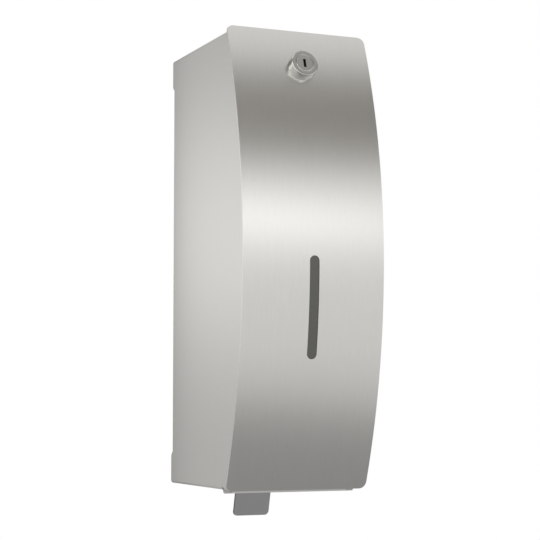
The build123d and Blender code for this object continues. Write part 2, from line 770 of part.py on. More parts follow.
nozzle_shoulder = outlet_boss_bottom - nozzle_collar_length
with BuildPart() as nozzle:
    with BuildSketch(Plane.XZ.offset(outlet_depth)):
        with BuildLine():
            Polyline(
                (nozzle_bore / 2, outlet_boss_bottom + outlet_spigot_length),
                (outlet_spigot_diameter / 2, outlet_boss_bottom + outlet_spigot_length),
                (outlet_spigot_diameter / 2, outlet_boss_bottom),
                (outlet_boss_diameter / 2, outlet_boss_bottom),
                (outlet_boss_diameter / 2, nozzle_shoulder),
                (nozzle_top_diameter / 2, nozzle_shoulder),
                (nozzle_tip_diameter / 2, nozzle_tip_height),
                (nozzle_bore / 2, nozzle_tip_height),
                close=True,
            )
        make_face()
    revolve(axis=Axis((0, -outlet_depth, 0), (0, 0, 1)))
export(nozzle, "nozzle")

# Gland at the rear of the cylinder, guiding the piston rod
gland_rear_depth = pump_rear_depth - gland_length
with BuildPart() as pump_gland:
    with BuildSketch(Plane.XZ.offset(gland_rear_depth)):
        with Locations((0, pump_axis_height)):
            Circle(pump_outer_diameter / 2)
    extrude(amount=gland_length)
    with BuildSketch(Plane.XZ.offset(pump_rear_depth)):
        with Locations((0, pump_axis_height)):
            Circle(bore_radius)
    extrude(amount=gland_spigot_length)
    with BuildSketch(Plane.XZ.offset(gland_rear_depth)):
        with Locations((0, pump_axis_height)):
            Circle(rod_diameter / 2 + rod_fit)
    extrude(amount=gland_length + gland_spigot_length, mode=Mode.SUBTRACT)
export(pump_gland, "pump_gland")

# Piston with rod, spring seat and domed end
seat_rear_depth = gland_rear_depth - spring_length - spring_seat_thickness
piston_rear_depth = pump_rear_depth + gland_spigot_length + piston_rest_gap
dome_rise = rod_dome_radius - math.sqrt(rod_dome_radius**2 - rod_diameter**2 / 4)
dome_tip_depth = lever_face_depth + lever_gap
ring_middle = piston_rear_depth + piston_length / 2
with BuildPart() as piston:
    with BuildSketch(Plane.YZ):
        with BuildLine():
            Polyline(
                (-piston_rear_depth - piston_length, 0),
                (-piston_rear_depth - piston_length, bore_radius - piston_fit),
                (-ring_middle - piston_ring_width / 2, bore_radius - piston_fit),
                (-ring_middle - piston_ring_width / 2, bore_radius - piston_ring_groove),
                (-ring_middle + piston_ring_width / 2, bore_radius - piston_ring_groove),
                (-ring_middle + piston_ring_width / 2, bore_radius - piston_fit),
                (-piston_rear_depth, bore_radius - piston_fit),
                (-piston_rear_depth, rod_diameter / 2),
                (-seat_rear_depth - spring_seat_thickness, rod_diameter / 2),
                (-seat_rear_depth - spring_seat_thickness, spring_seat_diameter / 2),
                (-seat_rear_depth, spring_seat_diameter / 2),
                (-seat_rear_depth, rod_diameter / 2),
                (-dome_tip_depth - dome_rise, rod_diameter / 2),
            )
            RadiusArc((-dome_tip_depth - dome_rise, rod_diameter / 2), (-dome_tip_depth, 0), rod_dome_radius)
            Line((-dome_tip_depth, 0), (-piston_rear_depth - piston_length, 0))
        make_face()
    revolve(axis=Axis.Y)
piston.part.position = (0, 0, pump_axis_height)
export(piston, "piston")

with BuildPart() as piston_ring:
    with BuildSketch(Plane.XZ.offset(ring_middle - piston_ring_width / 2)):
        with Locations((0, pump_axis_height)):
            Circle(piston_ring_diameter / 2)
            Circle(bore_radius - piston_ring_groove, mode=Mode.SUBTRACT)
    extrude(amount=piston_ring_width)
export(piston_ring, "piston_ring")

# Return spring between the gland and the spring seat
coil_length = spring_length - spring_wire - 2 * spring_end_gap
with BuildPart() as return_spring:
    with BuildLine() as coil:
        Helix(
            pitch=coil_length / spring_turns,
            height=coil_length,
            radius=spring_mean_diameter / 2,
            center=(0, -gland_rear_depth + spring_end_gap + spring_wire / 2, pump_axis_height),
            direction=(0, 1, 0),
        )
    with BuildSketch(Plane(origin=coil.line @ 0, z_dir=coil.line % 0)):
        RegularPolygon(spring_wire / 2, 6)
    sweep(is_frenet=True)
export(return_spring, "return_spring")

# Lever: a plate folded back at two ears, with a toe that hangs below the housing
pivot_y = -lever_face_depth + lever_pivot_offset
lever_half = lever_width / 2
with BuildPart() as lever:
    with BuildSketch(Plane.YZ):
        with BuildLine():
            lever_path = Polyline(
                (-lever_face_depth, lever_top),
                (-lever_face_depth, lever_bend_height),
                (-lever_face_depth + lever_toe_in, lever_bottom),
            )
            offset(amount=lever_sheet, side=Side.LEFT)
        make_face()
    extrude(amount=lever_half, both=True)
    with BuildSketch(Plane.XZ) as lever_front:
        with Locations((0, (lever_top + lever_bottom) / 2)):
            RectangleRounded(lever_width, lever_top - lever_bottom, lever_corner_radius)
    extrude(amount=reach, mode=Mode.INTERSECT)
    # ears round the pivot pin
    for side in (-1, 1):
        with BuildSketch(Plane.YZ.offset(side * (lever_half - lever_sheet))):
            with Locations((-lever_face_depth + lever_sheet / 2, lever_pivot_height)):
                Rectangle(lever_sheet, 1.6 * lever_ear_height)
            with Locations((pivot_y, lever_pivot_height)):
                Circle(lever_ear_height / 4)
            make_hull()
        extrude(amount=side * lever_sheet)
    with BuildSketch(Plane.YZ.offset(-lever_half)):
        with Locations((pivot_y, lever_pivot_height)):
            Circle(lever_pin_diameter / 2 + lever_pin_fit)
    extrude(amount=lever_width, mode=Mode.SUBTRACT)
export(lever, "lever")

# Bracket under the shelf that carries the lever's pin
cheek_inner = lever_half + bracket_gap
with BuildPart() as lever_bracket:
    with BuildSketch(Plane.XY.offset(shelf_height)):
        with Locations((0, -rivet_depth)):
            Rectangle(2 * (cheek_inner + bracket_sheet), bracket_length)
            with GridLocations(rivet_spacing_x, rivet_spacing_y, 2, 2):
                Circle(rivet_diameter / 2, mode=Mode.SUBTRACT)
    extrude(amount=-bracket_sheet)
    for side in (-1, 1):
        with BuildSketch(Plane.YZ.offset(side * cheek_inner)):
            with Locations((-rivet_depth, shelf_height)):
                Rectangle(bracket_length, bracket_sheet, align=(Align.CENTER, Align.MAX))
            with Locations((pivot_y, lever_pivot_height)):
                Circle(bracket_foot)
            make_hull()
        extrude(amount=side * bracket_sheet)
    with BuildSketch(Plane.YZ.offset(-housing_width / 2)):
        with Locations((pivot_y, lever_pivot_height)):
            Circle(lever_pin_diameter / 2)
    extrude(amount=housing_width, mode=Mode.SUBTRACT)
export(lever_bracket, "lever_bracket")

pin_half = cheek_inner + bracket_sheet + pin_overhang
clip_start = cheek_inner + bracket_sheet + clip_gap
with BuildPart() as lever_pin:
    with BuildSketch(Plane.YZ.offset(-pin_half)):
        with Locations((pivot_y, lever_pivot_height)):
            Circle(lever_pin_diameter / 2)
    extrude(amount=2 * pin_half)
    chamfer(lever_pin.edges().filter_by(GeomType.CIRCLE), plate_edge_break)
    for side in (-1, 1):
        with BuildSketch(Plane.YZ.offset(side * clip_start)):
            with Locations((pivot_y, lever_pivot_height)):
                Circle(lever_pin_diameter / 2)
                Circle(lever_pin_diameter / 2 - clip_groove, mode=Mode.SUBTRACT)
        extrude(amount=side * clip_thickness, mode=Mode.SUBTRACT)
export(lever_pin, "lever_pin")

with BuildPart() as pin_clips:
    for side in (-1, 1):
        with BuildSketch(Plane.YZ.offset(side * clip_start)):
            with Locations((pivot_y, lever_pivot_height)):
                Circle(clip_diameter / 2)
                Circle(lever_pin_diameter / 2 - clip_groove, mode=Mode.SUBTRACT)
            with Locations((pivot_y, lever_pivot_height)):
                Rectangle(clip_diameter, lever_pin_diameter / 2, align=(Align.MIN, Align.CENTER), mode=Mode.SUBTRACT)
        extrude(amount=side * clip_thickness)
export(pin_clips, "pin_clips")

with BuildPart() as lever_washers:
    for side in (-1, 1):
        with BuildSketch(Plane.YZ.offset(side * (lever_half + washer_gap))):
            with Locations((pivot_y, lever_pivot_height)):
                Circle(washer_diameter / 2)
                Circle(lever_pin_diameter / 2, mode=Mode.SUBTRACT)
        extrude(amount=side * (bracket_gap - washer_gap))
export(lever_washers, "lever_washers")

with BuildPart() as bracket_rivets:
    with BuildSketch(Plane.XY.offset(shelf_top)):
        with Locations((0, -rivet_depth)):
            with GridLocations(rivet_spacing_x, rivet_spacing_y, 2, 2):
                Circle(rivet_diameter / 2)
    extrude(amount=-shelf_sheet - bracket_sheet)
    with BuildSketch(Plane.XY.offset(shelf_height - bracket_sheet)):
        with Locations((0, -rivet_depth)):
            with GridLocations(rivet_spacing_x, rivet_spacing_y, 2, 2):
                Circle(rivet_head_diameter / 2)
    extrude(amount=-rivet_head_height)
    chamfer(bracket_rivets.edges().group_by(Axis.Z)[0], rivet_head_height / 2)
export(bracket_rivets, "bracket_rivets")
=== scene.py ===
# %% [markdown]
# # A wall soap dispenser in brushed steel
# The dispenser hangs on a wall. A tall steel box carries a tank and a small piston pump, and a
# curved steel door closes its front. A short lever sticks out underneath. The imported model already
# holds every piece at its real size and place, so this lesson starts from it and gives each piece
# its finish.

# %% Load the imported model
import json
import math

import bpy
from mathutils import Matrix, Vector


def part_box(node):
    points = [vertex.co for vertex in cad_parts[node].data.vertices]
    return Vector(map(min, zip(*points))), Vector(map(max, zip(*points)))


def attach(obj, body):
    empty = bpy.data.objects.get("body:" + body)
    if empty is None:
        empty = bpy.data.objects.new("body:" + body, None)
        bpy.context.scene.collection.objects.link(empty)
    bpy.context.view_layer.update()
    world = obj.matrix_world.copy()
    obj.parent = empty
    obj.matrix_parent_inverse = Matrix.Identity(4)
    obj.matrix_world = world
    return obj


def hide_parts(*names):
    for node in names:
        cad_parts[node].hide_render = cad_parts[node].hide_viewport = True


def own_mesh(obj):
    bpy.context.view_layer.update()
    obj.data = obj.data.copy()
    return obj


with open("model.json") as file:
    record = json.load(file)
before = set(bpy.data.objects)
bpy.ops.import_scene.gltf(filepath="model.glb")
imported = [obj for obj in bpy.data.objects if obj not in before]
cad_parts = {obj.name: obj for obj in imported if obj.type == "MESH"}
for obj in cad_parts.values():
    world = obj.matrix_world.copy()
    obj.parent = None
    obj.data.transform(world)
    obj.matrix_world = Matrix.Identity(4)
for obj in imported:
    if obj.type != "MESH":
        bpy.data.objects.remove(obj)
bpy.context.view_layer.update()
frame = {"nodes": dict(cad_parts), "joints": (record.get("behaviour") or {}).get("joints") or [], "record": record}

nodes = frame["nodes"]
MM = 0.001
print("pieces in the packed model:", len(nodes))

# %% [markdown]
# ## Shader sums in plain Python
# A material is a web of nodes, and each sum between two sockets needs a Math node. A small class
# can wrap one socket and overload the operators, so that `0.3 + 0.1 * streaks` adds those nodes by
# itself. Anything that isn't a sum comes from one method that takes the node's type, its settings
# and the values or links of its inputs.


# %% A socket that can be summed
class Value:
    """One shader socket that takes part in Python sums."""

    def __init__(self, shader, socket):
        self.shader = shader
        self.socket = socket

    def maths(self, operation, first, second):
        """Adds one Math node."""
        inputs = {0: first, 1: second}
        return self.shader.node("ShaderNodeMath", inputs=inputs, operation=operation)

    def __add__(self, other):
        return self.maths("ADD", self, other)

    def __sub__(self, other):
        return self.maths("SUBTRACT", self, other)

    def __rsub__(self, other):
        return self.maths("SUBTRACT", other, self)

    def __mul__(self, other):
        return self.maths("MULTIPLY", self, other)

    __radd__ = __add__
    __rmul__ = __mul__


# %% A node tree with one method that adds any node
class Shader:
    """The node tree of a material or of the world, emptied unless it is to be built on."""

    def __init__(self, tree, keep=False):
        self.tree = tree
        if not keep:
            tree.nodes.clear()

    def node(self, kind, output=0, inputs=None, **settings):
        """Adds one node and hands back the output that is asked for."""
        made = self.tree.nodes.new(kind)
        for name, value in settings.items():
            setattr(made, name, value)
        for name, value in (inputs or {}).items():
            if isinstance(value, Value):
                self.tree.links.new(value.socket, made.inputs[name])
            else:
                made.inputs[name].default_value = value
        return Value(self, made.outputs[output]) if made.outputs else made

    def place(self):
        """The place on the object, in metres."""
        return self.node("ShaderNodeTexCoord", output="Object")

    def noise(self, scale, detail):
        """Noise from 0 to 1 over the object, with cells per metre along each axis."""
        place = self.node("ShaderNodeMapping", inputs={"Vector": self.place(), "Scale": scale})
        inputs = {"Vector": place, "Scale": 1.0, "Detail": detail}
        return self.node("ShaderNodeTexNoise", inputs=inputs)

    def fade(self, value, start, end, before=0.0, after=1.0):
        """A smooth change from one number to another while a value goes from start to end."""
        return self.node("ShaderNodeMapRange", interpolation_type="SMOOTHSTEP", inputs={
            "Value": value, "From Min": start, "From Max": end, "To Min": before, "To Max": after})

    def tinted(self, colour, amount):
        """A colour made lighter or darker by an amount."""
        inputs = {0: colour[:3], "Scale": amount}
        return self.node("ShaderNodeVectorMath", inputs=inputs, operation="SCALE")


# %% [markdown]
# ## One recipe for every finish
# Each finish on this object is a solid colour that varies a little, a roughness that varies a
# little, and a fine relief. One function can build all of them from a few numbers. The grain is
# noise whose cells are stretched along the direction in which the sheet was brushed, mixed from a
# fine one and a broad one. The faces that look one way may differ from the rest, such as the satin
# front of a polished lock.

# %% The recipe
FINE_SHARE = 0.8
BROAD_SCALE = 0.13
SQUARE_ON = 0.94


def finish(name, colour, roughness, grain, relief, contrast=0.05, uneven=0.05, satin=None,
           **constants):
    """A material with a grain: cells per metre along X, Y and Z, and the relief's depth in metres.

    Satin and painted light is a direction, a change of brightness and a change of roughness, for the faces that
    look along it. The square of the cosine between the two says whether they do. It gives the lock its satin
    front, and it paints a highlight on the door plate's side edges and shade on the lever's edges.
    """
    material = bpy.data.materials.new(name)
    material.use_nodes = True
    shader = Shader(material.node_tree)
    fine = shader.noise(grain, detail=3.0)
    broad = shader.noise([cells * BROAD_SCALE for cells in grain], detail=2.0)
    mixed = fine * FINE_SHARE + broad * (1.0 - FINE_SHARE)
    amount = 1.0 - contrast + mixed * (2.0 * contrast)
    dull = roughness - uneven + mixed * (2.0 * uneven)
    # This facing step paints light and shade on some pieces: a painted highlight on the door plate's side edges
    # and painted shade on the lever's edges. On the lock it is a real satin front.
    if satin:
        direction, brighter, duller = satin
        normal = shader.node("ShaderNodeTexCoord", output="Normal")
        turned = shader.node("ShaderNodeVectorMath", output="Value",
                             inputs={0: normal, 1: direction}, operation="DOT_PRODUCT")
        flat = turned.maths("GREATER_THAN", turned * turned, SQUARE_ON)
        amount = amount + flat * brighter
        dull = dull + flat * duller
    inputs = {
        "Base Color": shader.tinted(colour, amount),
        "Roughness": dull,
        "Normal": shader.node("ShaderNodeBump", inputs={"Height": mixed, "Distance": relief}),
    }
    inputs.update({socket.replace("_", " "): value for socket, value in constants.items()})
    surface = shader.node("ShaderNodeBsdfPrincipled", inputs=inputs)
    shader.node("ShaderNodeOutputMaterial", inputs={"Surface": surface})
    return material


# %% [markdown]
# ## The finishes
# The door is brushed stainless steel with an upright grain. Its grain is worked out from the width and the height
# alone, so that the streaks run unbroken over the bulge. Its side edges are painted a little lighter, a painted
# highlight. The box is the same steel with a fainter, duller brushing, and the lever's cut edges are painted
# darker than its face, as painted shade. The lock is chrome plate with a satin front, the window is smoked
# plastic, and what is inside is plain steel and natural plastic. The keyhole is filled with a near-black block of
# painted shade.

# %% Metals
STEEL = (0.64, 0.633, 0.608)
# LEVER_FACE is the way the lever's face looks. Faces that don't look along it, the lever's edges, keep the dark
# base colour as painted shade.
LEVER_FACE = (0, 0.99, 0.14)
lock_turn = next(joint for joint in frame["joints"] if joint["name"] == "lock_turn")
lock_normal = Vector(lock_turn["axis"]).normalized()
materials = {
    # The door plate's side edges, the faces that look along X, are painted a little lighter: a painted highlight.
    "door_steel": finish(
        "door_steel", STEEL, roughness=0.29, grain=(2100, 0, 90), relief=0.004 * MM,
        contrast=0.07, uneven=0.04, satin=((1, 0, 0), 0.06, -0.04), Metallic=1.0),
    "box_steel": finish(
        "box_steel", (0.66, 0.653, 0.628), roughness=0.34, grain=(1500, 1500, 16),
        relief=0.006 * MM, contrast=0.03, uneven=0.03, Metallic=1.0),
    # The lever's edges are painted darker than its face: painted shade.
    "lever_steel": finish(
        "lever_steel", (0.20, 0.20, 0.199), roughness=0.30, grain=(1500, 0, 25),
        relief=0.004 * MM, contrast=0.02, uneven=0.03, satin=(LEVER_FACE, 1.62, 0.0),
        Metallic=1.0),
    "plain_steel": finish(
        "plain_steel", (0.56, 0.56, 0.55), roughness=0.42, grain=(240, 240, 240),
        relief=0.01 * MM, contrast=0.1, Metallic=1.0),
    "chrome": finish(
        "chrome", (0.72, 0.71, 0.68), roughness=0.16, grain=(900, 900, 900), relief=0.004 * MM,
        contrast=0.04, uneven=0.03, satin=(lock_normal, -0.42, 0.14), Metallic=1.0),
    "spring_wire": finish(
        "spring_wire", (0.5, 0.5, 0.5), roughness=0.28, grain=(600, 600, 600),
        relief=0.005 * MM, Metallic=1.0),
}
print("metals:", ", ".join(materials))

# %% Plastics and rubber
materials.update({
    "smoked_plastic": finish(
        "smoked_plastic", (0.085, 0.087, 0.075), roughness=0.42, grain=(500, 500, 500),
        relief=0.01 * MM, contrast=0.08),
    "tank_plastic": finish(
        "tank_plastic", (0.80, 0.80, 0.77), roughness=0.42, grain=(60, 60, 60),
        relief=0.06 * MM, contrast=0.03),
    "pump_plastic": finish(
        "pump_plastic", (0.62, 0.63, 0.63), roughness=0.45, grain=(300, 300, 300),
        relief=0.02 * MM, contrast=0.04),
    "black_rubber": finish(
        "black_rubber", (0.03, 0.03, 0.03), roughness=0.75, grain=(700, 700, 700),
        relief=0.03 * MM, contrast=0.2),
    # Near-black painted shade for the inside of the keyhole.
    "keyhole_painted_shade": finish(
        "keyhole_painted_shade", (0.006, 0.006, 0.006), roughness=0.9, grain=(900, 900, 900),
        relief=0.02 * MM, contrast=0.3, Specular_IOR_Level=0.1),
})
print("materials in all:", len(materials))

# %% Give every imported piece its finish
slot_finish = {
    "brushed_steel": "box_steel",
    "plain_steel": "plain_steel",
    "lever_steel": "lever_steel",
    "lock_chrome": "chrome",
    "spring_steel": "spring_wire",
    "smoked_window": "smoked_plastic",
    "tank_plastic": "tank_plastic",
    "pump_plastic": "pump_plastic",
    "black_rubber": "black_rubber",
}


def dress(piece, material):
    """Gives a piece one material."""
    piece.data.materials.clear()
    piece.data.materials.append(materials[material])


for row in frame["record"]["subparts"]:
    dress(nodes[row["node"]], slot_finish[row["material_slot"]])
dress(nodes["door_plate"], "door_steel")

# %% [markdown]
# ## Modelling helpers
# New pieces are modelled in edit mode, as by hand. A few steps come up each time: starting from a
# primitive with nothing else selected, opening and leaving edit mode, putting a piece's place into
# its mesh, and applying a modifier. Each gets a short function.


# %% Start a piece, edit it, apply its place and its modifiers
def pick(piece):
    """Makes one piece the only one selected."""
    bpy.ops.object.select_all(action="DESELECT")
    bpy.context.view_layer.objects.active = piece
    piece.select_set(True)


def start(name, primitive, **options):
    """Adds one primitive with nothing else selected, and names it."""
    bpy.ops.object.select_all(action="DESELECT")
    getattr(bpy.ops.mesh, primitive)(**options)
    piece = bpy.context.object
    piece.name = piece.data.name = name
    return piece


def edit(piece):
    """Opens one piece in edit mode with all of it selected."""
    pick(piece)
    bpy.ops.object.mode_set(mode="EDIT")
    bpy.ops.mesh.select_all(action="SELECT")


def done():
    """Leaves edit mode."""
    bpy.ops.object.mode_set(mode="OBJECT")


def settle(piece):
    """Puts the piece's place into its mesh."""
    pick(piece)
    bpy.ops.object.transform_apply(location=True, rotation=True, scale=True)


def apply(piece, kind, **settings):
    """Adds one modifier and applies it."""
    pick(piece)
    modifier = piece.modifiers.new(kind.lower(), kind)
    for name, value in settings.items():
        setattr(modifier, name, value)
    bpy.ops.object.modifier_apply(modifier=modifier.name)


# %% [markdown]
# ## Chains, cuts and edges
# A sheet or a turned piece starts as one point that is pulled along into a chain of edges, which a
# spin then sweeps round. Holes are cut with a second closed mesh. The edges are broken last, by a
# bevel that leaves the broad faces flat in the shading.


# %% Start from a point, cut, break edges, finish
SMOOTH_ANGLE = 40.0


def chain(name, place, steps):
    """A chain of edges from one point through a few steps, left in edit mode and all selected."""
    piece = start(name, "primitive_plane_add", size=MM, location=place)
    edit(piece)
    bpy.ops.mesh.merge(type="CENTER")
    for step in steps:
        bpy.ops.mesh.extrude_region_move(TRANSFORM_OT_translate={"value": step})
    bpy.ops.mesh.select_all(action="SELECT")
    return piece


def carve(piece, cutter, operation="DIFFERENCE"):
    """Cuts one closed mesh with another and deletes the cutter."""
    apply(piece, "BOOLEAN", object=cutter, operation=operation, solver="EXACT")
    bpy.data.objects.remove(cutter)


def prism(name, width, height, corner, centre_height, depth, segments=12):
    """An upright prism with rounded corners, standing on the wall plane and reaching forwards."""
    piece = start(name, "primitive_plane_add", size=1.0, location=(0, 0, centre_height),
                  rotation=(math.pi / 2, 0, 0))
    piece.scale = (width, height, 1.0)
    settle(piece)
    edit(piece)
    bpy.ops.mesh.bevel(offset=corner, segments=segments, affect="VERTICES")
    bpy.ops.mesh.extrude_region_move(TRANSFORM_OT_translate={"value": (0, -depth, 0)})
    bpy.ops.mesh.select_all(action="SELECT")
    bpy.ops.mesh.normals_make_consistent(inside=False)
    done()
    return piece


def round_off(piece, width, segments=3, angle=SMOOTH_ANGLE):
    """Breaks the edges sharper than an angle, and keeps the broad faces flat in the shading."""
    apply(piece, "BEVEL", width=width, segments=segments, limit_method="ANGLE",
          angle_limit=math.radians(angle), harden_normals=False)
    bpy.ops.object.shade_smooth_by_angle(angle=math.radians(SMOOTH_ANGLE))
    apply(piece, "WEIGHTED_NORMAL", keep_sharp=True, weight=100)


def finished(piece, body, node, material):
    """Seats a finished piece on its body in place of a packed one."""
    dress(piece, material)
    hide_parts(node)
    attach(piece, body)
    print(piece.name, "has", len(piece.data.polygons), "faces")


# %% [markdown]
# ## The rolled door plate
# The real plate is one thick sheet, rolled to a single large arc, with rounded corners, softened
# edges, a slot for the window and a round hole for the lock. It could be bent with a modifier, but
# then its corners would lean. Here an edge is spun to the arc and thickened, and then trimmed by a
# straight prism, as a press trims the real sheet.

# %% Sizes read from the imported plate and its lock
plate_low, plate_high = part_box("door_plate")
plate_width = plate_high.x - plate_low.x
plate_height = plate_high.z - plate_low.z
plate_middle = (plate_high.z + plate_low.z) / 2
lock_seat = Vector(lock_turn["pos_m"])
lock_turned = lock_normal.to_track_quat("Z", "Y").to_euler()
arc_height = lock_seat.z - plate_middle
arc_radius = arc_height / lock_normal.z
arc_centre = Vector((0, lock_seat.y - lock_normal.y * arc_radius, plate_middle))
print("plate in mm:", round(plate_width / MM, 1), "by", round(plate_height / MM, 1),
      "rolled to a radius of", round(arc_radius / MM, 1))

# %% Spin the sheet
ARC_STEPS = 150
SPARE = 1.15
blank_width = plate_width * SPARE
half_turn = math.asin(plate_height / 2 / arc_radius) * SPARE
lower_edge = arc_centre + arc_radius * Vector((0, -math.cos(half_turn), -math.sin(half_turn)))
plate = chain("rolled_plate", lower_edge, [(blank_width, 0, 0)])
bpy.ops.transform.translate(value=(-blank_width / 2, 0, 0))
bpy.ops.mesh.spin(steps=ARC_STEPS, angle=2 * half_turn, center=arc_centre, axis=(1, 0, 0))
bpy.ops.mesh.select_all(action="SELECT")
bpy.ops.mesh.remove_doubles(threshold=0.01 * MM)
done()
settle(plate)
print("spun", len(plate.data.polygons), "strips")

# %% Thicken it and trim its outline
PLATE_THICKNESS = 1.5 * MM
PLATE_CORNER = 4.8 * MM
PRESS_DEPTH = 250 * MM
front = plate.data.polygons[0].normal
inwards = 1.0 if front.y > 0 else -1.0
apply(plate, "SOLIDIFY", thickness=PLATE_THICKNESS, offset=inwards)
outline = prism("outline", plate_width, plate_height, PLATE_CORNER, plate_middle, PRESS_DEPTH)
carve(plate, outline, "INTERSECT")
print("trimmed to", len(plate.data.polygons), "faces")

# %% Cut the slot and the lock's hole
WINDOW_WIDTH = 7 * MM
WINDOW_HEIGHT = 69 * MM
WINDOW_CORNER = WINDOW_WIDTH / 2 - 0.001 * MM
LOCK_HOLE_RADIUS = 9.1 * MM
PLATE_EDGE = 0.65 * MM
window_low, window_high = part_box("sight_window")
window_middle = (window_low.z + window_high.z) / 2
carve(plate, prism("slot", WINDOW_WIDTH, WINDOW_HEIGHT, WINDOW_CORNER, window_middle, PRESS_DEPTH,
                   segments=16))
drill = start("drill", "primitive_cylinder_add", vertices=96, radius=LOCK_HOLE_RADIUS,
              depth=20 * MM, location=lock_seat, rotation=lock_turned)
settle(drill)
carve(plate, drill)
round_off(plate, PLATE_EDGE)
finished(plate, "door", "door_plate", "door_steel")

# %% [markdown]
# ## Softened edges
# A punched, folded or moulded edge is never razor sharp, and the thin bright line along it is much
# of what makes metal look real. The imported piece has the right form, so a copy of its mesh can be
# cleaned of its triangles and bevelled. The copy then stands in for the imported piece. The lever's
# bend is so slight that its angle has to be named, or it would be shaded as one long curve.

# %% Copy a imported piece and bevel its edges
WELD = 0.002 * MM
FLAT_ANGLE = 0.6


def cleaned_copy(name, node):
    """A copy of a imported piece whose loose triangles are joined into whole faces."""
    piece = bpy.data.objects.new(name, nodes[node].data.copy())
    bpy.context.scene.collection.objects.link(piece)
    edit(piece)
    bpy.ops.mesh.remove_doubles(threshold=WELD)
    bpy.ops.mesh.dissolve_limited(angle_limit=math.radians(FLAT_ANGLE))
    bpy.ops.mesh.normals_make_consistent(inside=False)
    done()
    return piece


def softened(node, body, material, width, segments=2, angle=35.0):
    """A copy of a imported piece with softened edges."""
    piece = cleaned_copy("soft_" + node, node)
    round_off(piece, width, segments, angle)
    finished(piece, body, node, material)


softened("lever", "lever", "lever_steel", 0.95 * MM, segments=4, angle=14.0)
softened("lock_plug", "lock_key", "chrome", 0.1 * MM)
softened("lock_nut", "door", "chrome", 0.3 * MM)
softened("lock_cam", "lock_key", "plain_steel", 0.25 * MM)
softened("housing_wrap", "housing", "box_steel", 0.2 * MM)
softened("catch_angle", "housing", "plain_steel", 0.25 * MM)
softened("tank_lid", "tank_lid", "tank_plastic", 0.3 * MM)

# %% [markdown]
# ## The turned lock barrel
# The lock's body is turned on a lathe, so half of its section can be drawn as a chain of points
# and spun once round. Its head widens a little towards the plate. The part behind the plate
# carries a thread, and fine grooves a millimetre apart stand for it.

# %% Half of the section, in millimetres from the axis and from the plate
BORE, BARREL, RING, HEAD, FLANGE = 6.35, 9.0, 6.8, 9.8, 10.3
HEAD_LENGTH, BARREL_LENGTH, FLANGE_LENGTH = 5.6, 14.0, 0.5
CHAMFER, RECESS = 0.6, 0.6
GROOVES, FIRST_GROOVE, GROOVE = 11, 1.3, 0.35
section = [(BORE, -BARREL_LENGTH), (BARREL - CHAMFER, -BARREL_LENGTH),
           (BARREL, CHAMFER - BARREL_LENGTH)]
for groove in range(GROOVES):
    height = FIRST_GROOVE + groove - BARREL_LENGTH
    section += [(BARREL, height - GROOVE), (BARREL - GROOVE, height), (BARREL, height + GROOVE)]
section += [(BARREL, 0.0), (FLANGE, 0.0), (FLANGE, FLANGE_LENGTH), (HEAD, HEAD_LENGTH - CHAMFER),
            (HEAD - CHAMFER, HEAD_LENGTH), (RING, HEAD_LENGTH), (RING, HEAD_LENGTH - RECESS),
            (BORE, HEAD_LENGTH - RECESS), (BORE, -BARREL_LENGTH)]
print("points in the section:", len(section))

# %% Spin it once round and seat it
LATHE_STEPS = 72
TURNED_EDGE = 0.12 * MM
steps = [((there[0] - here[0]) * MM, 0, (there[1] - here[1]) * MM)
         for here, there in zip(section, section[1:])]
barrel = chain("turned_barrel", (section[0][0] * MM, 0, section[0][1] * MM), steps)
bpy.ops.mesh.spin(steps=LATHE_STEPS, angle=2 * math.pi, center=(0, 0, 0), axis=(0, 0, 1))
bpy.ops.mesh.select_all(action="SELECT")
bpy.ops.mesh.remove_doubles(threshold=0.005 * MM)
bpy.ops.mesh.normals_make_consistent(inside=False)
done()
settle(barrel)
round_off(barrel, TURNED_EDGE, segments=2)
barrel.rotation_euler = lock_turned
barrel.location = lock_seat
settle(barrel)
finished(barrel, "door", "lock_barrel", "chrome")

# %% [markdown]
# ## The keyway
# From outside, a keyhole looks black, because its inside lies in shade. A near-black block that sits a little
# below the face paints that shade, and it turns with the key.

# %% A block of painted shade inside the keyhole
# A near-black block, painted shade for the hollow of the keyhole.
SHADE_BLOCK = Vector((1.9, 6.1, 6.0)) * MM
SHADE_BLOCK_HEIGHT = 1.2 * MM
shade_block = start("keyway", "primitive_cube_add", size=1.0)
shade_block.scale = SHADE_BLOCK
settle(shade_block)
edit(shade_block)
bpy.ops.mesh.subdivide(number_cuts=1)
bpy.ops.mesh.select_all(action="SELECT")
bpy.ops.mesh.bevel(offset=0.1 * MM, segments=2, affect="EDGES")
done()
shade_block.rotation_euler = lock_turned
shade_block.location = lock_seat + lock_normal * SHADE_BLOCK_HEIGHT
settle(shade_block)
dress(shade_block, "keyhole_painted_shade")
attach(shade_block, "lock_key")
print("keyway has", len(shade_block.data.polygons), "faces")

# %% [markdown]
# ## The cam's screw
# A slot across the screw's head shows how the cam comes off. It is cut into a copy of the packed
# screw with a thin block, which is turned so that it lies square on the screw's axis and just dips
# into the outer end of the head.

# %% Slot the screw's head
SLOT_BLOCK = Vector((9.0, 1.0, 1.8)) * MM
screw = cleaned_copy("slotted_screw", "cam_screw")
head_end = min((vertex.co - lock_seat).dot(lock_normal) for vertex in screw.data.vertices)
blade = start("blade", "primitive_cube_add", size=1.0, rotation=lock_turned,
              location=lock_seat + lock_normal * head_end)
blade.scale = SLOT_BLOCK
settle(blade)
carve(screw, blade)
round_off(screw, TURNED_EDGE, segments=2, angle=35.0)
finished(screw, "lock_key", "cam_screw", "plain_steel")

# %% [markdown]
# ## The return spring
# The spring is one round wire. A small circle is placed at the coil's radius, and a screw modifier winds it round
# the pump's axis with the pitch that fits the five turns between gland and seat. It gets shorter as the lever is
# pushed, towards the gland, which ends 58 mm from the wall, and at rest it stands 15 mm long.

